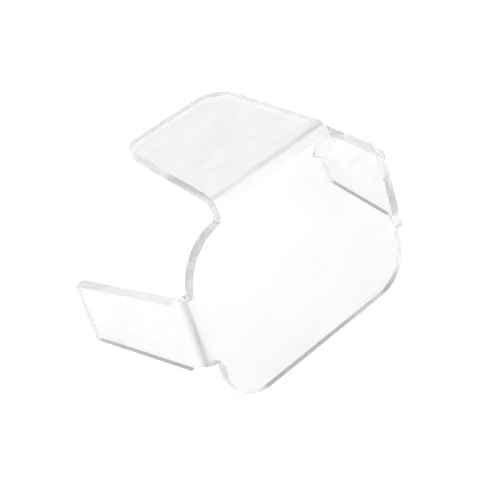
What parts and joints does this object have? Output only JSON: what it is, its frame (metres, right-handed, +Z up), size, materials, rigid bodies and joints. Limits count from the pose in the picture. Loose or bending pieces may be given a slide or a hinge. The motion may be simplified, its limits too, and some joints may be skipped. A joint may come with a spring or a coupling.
{
  "type": "cheek retractor",
  "caption": "Clear bent-sheet cheek retractor: a rounded face plate with a shelf, a long wing and a short pointed tab folded back from its edges.",
  "frame": {"origin": "middle of the underside of the part's box, as it stands on its three feet: the wing's tip, the tab's heel and the face plate's lower right corner", "axes": "+X along the face plate's width towards the short tab, +Y from the face plate towards the flanges' free ends, +Z up"},
  "size_m": [0.0848, 0.0636, 0.0523],
  "materials": {
    "clear_acrylic": "polished clear acrylic sheet with satin cut edges"
  },
  "bodies": {
    "root": {"retractor_body": "clear_acrylic"}
  },
  "joints": []
}
